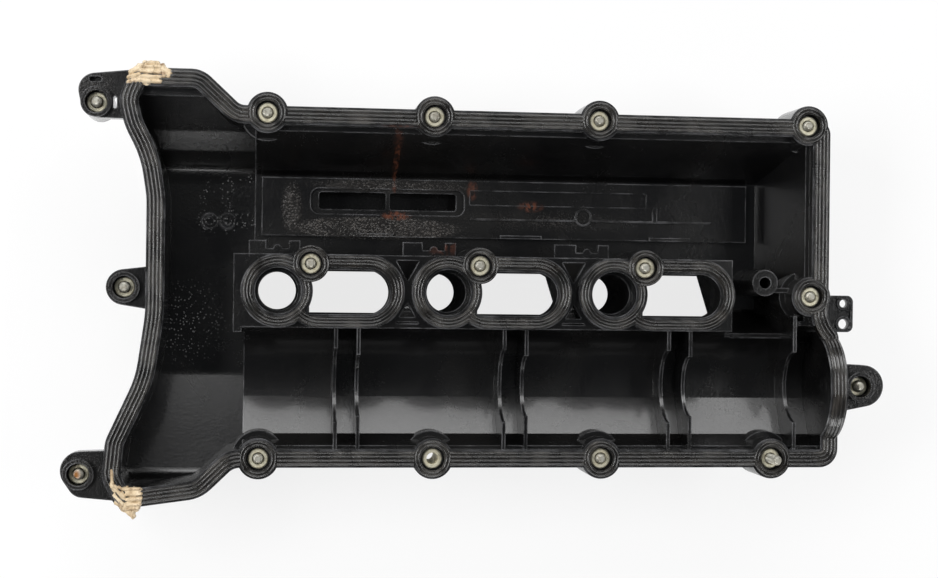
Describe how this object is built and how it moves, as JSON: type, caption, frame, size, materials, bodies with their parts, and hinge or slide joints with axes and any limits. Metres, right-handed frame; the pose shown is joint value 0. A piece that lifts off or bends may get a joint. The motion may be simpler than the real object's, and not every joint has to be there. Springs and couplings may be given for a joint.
{
  "type": "engine valve cover",
  "caption": "Moulded plastic valve cover shown from its gasket side, with timing-end chamber, oil separator plate, ribbed camshaft vault, plug wells and captive bolts.",
  "frame": {"origin": "axis of the middle plug bore, at the plane of the outer tube mouths that the cover rests on", "axes": "+X along the row of cylinders away from the timing end, +Y away from the camshaft, +Z out of the open gasket side"},
  "size_m": [0.4831, 0.2604, 0.0943],
  "materials": {
    "cover_plastic": "satin moulded surface with oil film",
    "baffle_plastic": "satin",
    "gasket_rubber": "smooth rubber with oil film",
    "sleeve_zinc": "yellow zinc plate",
    "bolt_zinc": "zinc plate, dull",
    "sealant": "cured sealant, matt"
  },
  "bodies": {
    "cover": {"cover_shell": "cover_plastic", "rim_gasket": "gasket_rubber", "separator_baffle": "baffle_plastic", "sealant_top": "sealant", "sealant_bottom": "sealant", "well_gasket_1": "gasket_rubber", "well_gasket_2": "gasket_rubber", "well_gasket_3": "gasket_rubber", "rim_sleeves": "sleeve_zinc", "well_sleeves": "sleeve_zinc", "ear_sleeves": "sleeve_zinc", "empty_sleeve": "sleeve_zinc"},
    "top_bolt_1": {"top_bolt_1": "bolt_zinc"},
    "top_bolt_2": {"top_bolt_2": "bolt_zinc"},
    "top_bolt_3": {"top_bolt_3": "bolt_zinc"},
    "top_bolt_4": {"top_bolt_4": "bolt_zinc"},
    "bottom_bolt_1": {"bottom_bolt_1": "bolt_zinc"},
    "bottom_bolt_3": {"bottom_bolt_3": "bolt_zinc"},
    "bottom_bolt_4": {"bottom_bolt_4": "bolt_zinc"},
    "right_bolt": {"right_bolt": "bolt_zinc"},
    "well_bolt_1": {"well_bolt_1": "bolt_zinc"},
    "well_bolt_2": {"well_bolt_2": "bolt_zinc"},
    "well_bolt_3": {"well_bolt_3": "bolt_zinc"},
    "front_bolt_top": {"front_bolt_top": "bolt_zinc"},
    "front_bolt_middle": {"front_bolt_middle": "bolt_zinc"},
    "front_bolt_bottom": {"front_bolt_bottom": "bolt_zinc"},
    "rear_bolt": {"rear_bolt": "bolt_zinc"}
  },
  "joints": [
    {"name": "top_bolt_1_slide", "type": "slide", "parent": "cover", "child": "top_bolt_1", "axis": [0, 0, 1], "range_m": [0, 0.0117]},
    {"name": "top_bolt_2_slide", "type": "slide", "parent": "cover", "child": "top_bolt_2", "axis": [0, 0, 1], "range_m": [0, 0.0117]},
    {"name": "top_bolt_3_slide", "type": "slide", "parent": "cover", "child": "top_bolt_3", "axis": [0, 0, 1], "range_m": [0, 0.0117]},
    {"name": "top_bolt_4_slide", "type": "slide", "parent": "cover", "child": "top_bolt_4", "axis": [0, 0, 1], "range_m": [0, 0.0117]},
    {"name": "bottom_bolt_1_slide", "type": "slide", "parent": "cover", "child": "bottom_bolt_1", "axis": [0, 0, 1], "range_m": [0, 0.0117]},
    {"name": "bottom_bolt_3_slide", "type": "slide", "parent": "cover", "child": "bottom_bolt_3", "axis": [0, 0, 1], "range_m": [0, 0.0117]},
    {"name": "bottom_bolt_4_slide", "type": "slide", "parent": "cover", "child": "bottom_bolt_4", "axis": [0, 0, 1], "range_m": [-0.0117, 0]},
    {"name": "right_bolt_slide", "type": "slide", "parent": "cover", "child": "right_bolt", "axis": [0, 0, 1], "range_m": [0, 0.0117]},
    {"name": "well_bolt_1_slide", "type": "slide", "parent": "cover", "child": "well_bolt_1", "axis": [0, 0, 1], "range_m": [0, 0.0117]},
    {"name": "well_bolt_2_slide", "type": "slide", "parent": "cover", "child": "well_bolt_2", "axis": [0, 0, 1], "range_m": [0, 0.0117]},
    {"name": "well_bolt_3_slide", "type": "slide", "parent": "cover", "child": "well_bolt_3", "axis": [0, 0, 1], "range_m": [0, 0.0117]},
    {"name": "front_bolt_top_slide", "type": "slide", "parent": "cover", "child": "front_bolt_top", "axis": [0, 0, 1], "range_m": [0, 0.0117]},
    {"name": "front_bolt_middle_slide", "type": "slide", "parent": "cover", "child": "front_bolt_middle", "axis": [0, 0, 1], "range_m": [0, 0.0117]},
    {"name": "front_bolt_bottom_slide", "type": "slide", "parent": "cover", "child": "front_bolt_bottom", "axis": [0, 0, 1], "range_m": [0, 0.0117]},
    {"name": "rear_bolt_slide", "type": "slide", "parent": "cover", "child": "rear_bolt", "axis": [0, 0, 1], "range_m": [0, 0.0117]}
  ]
}
